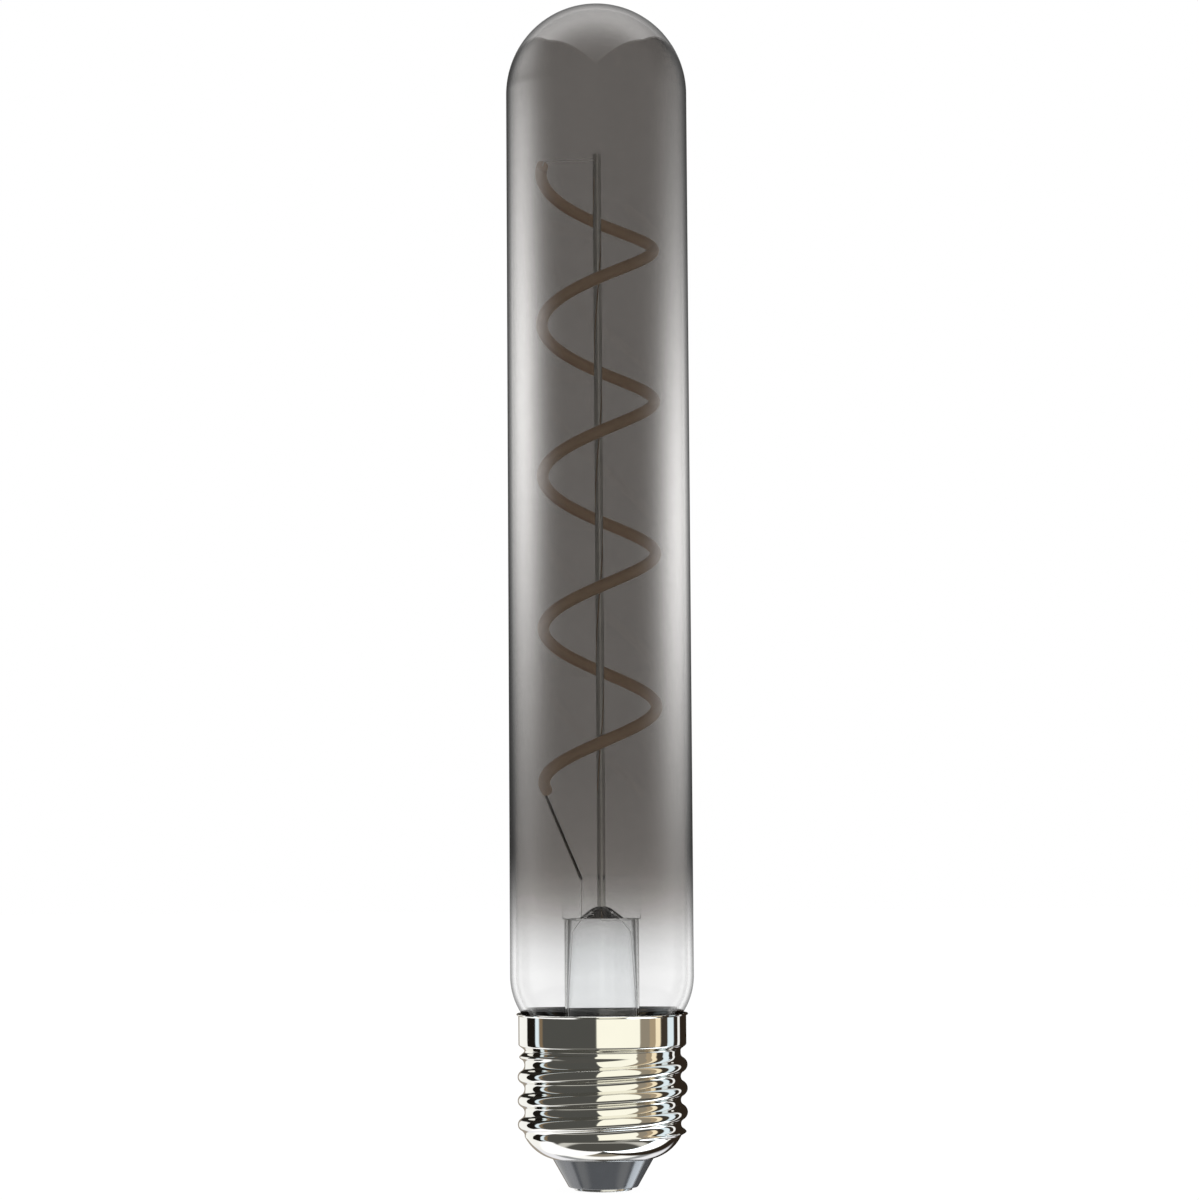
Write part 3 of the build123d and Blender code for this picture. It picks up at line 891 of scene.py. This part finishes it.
def cap_tones(sums, azimuth, turn, height):
    """What the cap reflects: the panels at eye level, other tones above and below them."""
    panels = sums.ramp(sums.share(azimuth, 180.0), panel_stops())
    levels = sums.ramp(sums.share(height, 90.0), level_stops(LEVELS))
    behind = sums.ramp(sums.share(height, 90.0), level_stops(BACK_LEVELS))
    eye_level = sums.times(sums.ease(EYE_LEVEL_FOOT, height), sums.ease(EYE_LEVEL_HEAD, height))
    front = sums.mix(eye_level, levels, panels)
    lower = sums.ease(LOWER_SIDES, height)

    from_back = sums.times(sums.math("SUBTRACT", 180.0, turn), UPPER_LEFT_SLOPE)
    edge = sums.math("MINIMUM", from_back, UPPER_LEFT_TOP)
    upper = sums.ease(UPPER_LEFT_EDGE, sums.math("SUBTRACT", height, edge))
    left = sums.mix(lower, sums.mix(upper, panels, UPPER_LEFT_TONE), LOWER_LEFT_TONE)

    upper = sums.times(sums.ease(UPPER_RIGHT_FOOT, height), sums.ease(UPPER_RIGHT_END, azimuth))
    lower = sums.times(lower, sums.ease(LOWER_RIGHT_END, azimuth))
    right = sums.mix(lower, sums.mix(upper, panels, UPPER_RIGHT_TONE), LOWER_RIGHT_TONE)

    sides = sums.mix(sums.math("GREATER_THAN", azimuth, 0.0), left, right)
    low_back = sums.times(sums.ease(LOWER_BACK, height), sums.ease(LOWER_BACK_FROM, turn))
    sides = sums.mix(low_back, sides, behind)
    return sums.mix(sums.ease(SIDES_FROM, turn), front, sides)


def inner_tones(sums, azimuth, turn, height, mirror):
    """What is seen by reflection inside the lamp, with a dark line round the stem's bell."""
    stops = [((edge + 180) / 360, (tone, tone, tone * SOFT_BLUE)) for edge, tone in SOFT_PANELS]
    soft = sums.ramp(sums.share(azimuth, 180.0), stops)
    bell_edge = sums.times(sums.ease(BELL_EDGE_FROM, turn), sums.ease(BELL_EDGE_END, turn))
    soft = sums.mix(sums.times(bell_edge, mirror), soft, BELL_EDGE_TONE)
    return sums.mix(sums.ease(INNER_TOP, height), soft, INNER_TOP_TONE)


def soft_box(sums, azimuth, height, box):
    """A bright core with a wide halo, at one side of the lamp."""
    core, halo = (
        sums.times(sums.bump(height, middle, spread), strength)
        for middle, spread, strength in (box["core"], box["halo"])
    )
    leaning = sums.math("MULTIPLY_ADD", height, box["lean"], azimuth)
    return sums.times(sums.math("ADD", core, halo), sums.bump(leaning, box["azimuth"], box["spread"]))


def overhead_wedge(sums, x, y, z):
    """A light above the lamp that widens towards the back and dims away from its middle."""
    up = sums.math("MAXIMUM", z, WEDGE_LOWEST)
    along = sums.math("DIVIDE", y, up)
    across = sums.math("ABSOLUTE", sums.math("DIVIDE", x, up))
    reach = sums.math("MULTIPLY_ADD", along, WEDGE_TAPER, WEDGE_HALF_WIDTH)
    reach = sums.math("MINIMUM", reach, WEDGE_WIDEST)
    slide = sums.math("DIVIDE", sums.math("SUBTRACT", along, WEDGE_MIDDLE), WEDGE_LENGTH)
    wedge = sums.math("DIVIDE", WEDGE_STRENGTH, sums.math("MULTIPLY_ADD", slide, slide, 1.0))
    return sums.times(wedge, sums.ease(WEDGE_EDGE, sums.math("SUBTRACT", reach, across)))


def low_tones(sums, turn, height):
    """Pale tones below eye level."""
    low = sums.math("MULTIPLY_ADD", sums.ease(LOW_BEHIND, turn), LOW_BEHIND_LOSS, LOW_TONE)
    beside = sums.math("MULTIPLY_ADD", sums.ease(LOW_BESIDE, turn), 1 - LOW_FRONT, LOW_FRONT)
    return sums.times(sums.ease(LOW_FADE, height), sums.times(low, beside))


def build_world():
    """A studio whose tones differ for what is seen directly, in metal, in glass and inside the lamp."""
    world = bpy.data.worlds.new("studio")
    bpy.context.scene.world = world
    world.use_nodes = True
    tree = world.node_tree
    tree.nodes.clear()
    sums = Sums(tree)
    place = tree.nodes.new("ShaderNodeTexCoord")
    split = tree.nodes.new("ShaderNodeSeparateXYZ")
    tree.links.new(place.outputs["Generated"], split.inputs[0])
    x, y, z = split.outputs
    degrees = math.degrees(1)
    azimuth = sums.times(sums.math("ARCTAN2", x, sums.times(y, -1.0)), degrees)
    turn = sums.math("ABSOLUTE", azimuth)
    height = sums.times(sums.math("ARCSINE", z), degrees)

    path = tree.nodes.new("ShaderNodeLightPath")
    mirror = path.outputs["Is Singular Ray"]
    outside = sums.math("LESS_THAN", path.outputs["Transmission Depth"], OUTSIDE_LIMIT)
    within = inner_tones(sums, azimuth, turn, height, mirror)
    metal = sums.mix(outside, within, cap_tones(sums, azimuth, turn, height))

    boxes = sums.math("ADD", *(soft_box(sums, azimuth, height, box) for box in (LEFT_BOX, RIGHT_BOX)))
    others = sums.math("ADD", overhead_wedge(sums, x, y, z), low_tones(sums, turn, height))
    light = sums.math("ADD", sums.math("ADD", boxes, others), GLASS_LEAST_TONE)
    glass = tree.nodes.new("ShaderNodeCombineColor")
    for socket in glass.inputs[:3]:
        tree.links.new(light, socket)
    studio = sums.mix(sums.times(mirror, outside), metal, glass.outputs[0])

    glossy = sums.math("GREATER_THAN", path.outputs["Glossy Depth"], REFLECTED)
    shown = sums.mix(glossy, (1.0, 1.0, 1.0), studio)
    background = tree.nodes.new("ShaderNodeBackground")
    tree.links.new(shown, background.inputs["Color"])
    output = tree.nodes.new("ShaderNodeOutputWorld")
    tree.links.new(background.outputs[0], output.inputs["Surface"])


def build_floor():
    """Plain pale floor, which shows neither in reflections nor through the glass."""
    bpy.ops.mesh.primitive_plane_add(size=FLOOR_SIZE)
    floor = bpy.context.object
    floor.name = "floor"
    material, _, _, shader = new_material("floor_white")
    shader.inputs["Base Color"].default_value = (*FLOOR_TONE, 1)
    shader.inputs["Roughness"].default_value = FLOOR_ROUGHNESS
    shader.inputs["Specular IOR Level"].default_value = 0.0
    set_glow(material, (1, 1, 1), FLOOR_GLOW)
    floor.data.materials.append(material)
    floor.visible_glossy = False
    floor.visible_transmission = False


def build_camera():
    """The photograph's camera, pitched up a little and rolled."""
    forward = Vector((0, math.cos(CAMERA_PITCH), math.sin(CAMERA_PITCH)))
    right = forward.cross(Vector((0, 0, 1))).normalized()
    up = right.cross(forward)
    c, s = math.cos(CAMERA_ROLL), math.sin(CAMERA_ROLL)
    side, top = c * right + s * up, c * up - s * right
    data = bpy.data.cameras.new("photo_camera")
    data.sensor_width = SENSOR_WIDTH_MM
    data.lens = FOCAL_PX * data.sensor_width / PHOTO_LONG_SIDE_PX
    data.clip_start = NEAREST
    data.clip_end = FARTHEST
    camera = bpy.data.objects.new("photo_camera", data)
    bpy.context.scene.collection.objects.link(camera)
    turn = Matrix((side, top, -forward)).transposed().to_4x4()
    camera.matrix_world = Matrix.Translation(CAMERA_PLACE) @ turn
    bpy.context.scene.camera = camera


finishes = build_finishes()

# Pieces modelled here, each in place of one node
for build, node, slot in (
    (build_envelope, "glass_envelope", "smoke_glass"),
    (build_stem, "glass_stem", "clear_glass"),
    (build_rod, "centre_rod", "polished_steel"),
    (build_filament, "filament_spiral", "filament_coating"),
    (build_screw_shell, "screw_shell", "cap_metal"),
    (build_insulator, "insulator", "insulator_glass"),
    (build_contact, "centre_contact", "contact_metal"),
):
    finish_piece(build(), node, finishes[slot])

# Pieces that keep their CAD mesh
for node, finish in {
    "lower_lead_wire": "lead_wire",
    "upper_link_wire": "feed_wire",
    "lower_feed_wire": "feed_wire",
    "rod_feed_wire": "feed_wire",
    # Painted shade: the cement's near-black finish stands for the dark gap at the cap's rim
    "basing_cement": "cement",
    "driver_board": "board",
    "smoothing_capacitor": "capacitor_sleeve",
    "choke_core": "ferrite",
    "choke_winding": "copper_winding",
    "bridge_rectifier": "chip_plastic",
    "driver_chip": "chip_plastic",
    "fusible_resistor": "resistor_coat",
    "contact_wire": "mains_wire",
    "shell_wire": "mains_wire",
}.items():
    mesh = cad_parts[node].data
    mesh.materials.clear()
    mesh.materials.append(finishes[finish])

build_world()
build_floor()
build_camera()
bpy.context.scene.view_settings.view_transform = "Standard"
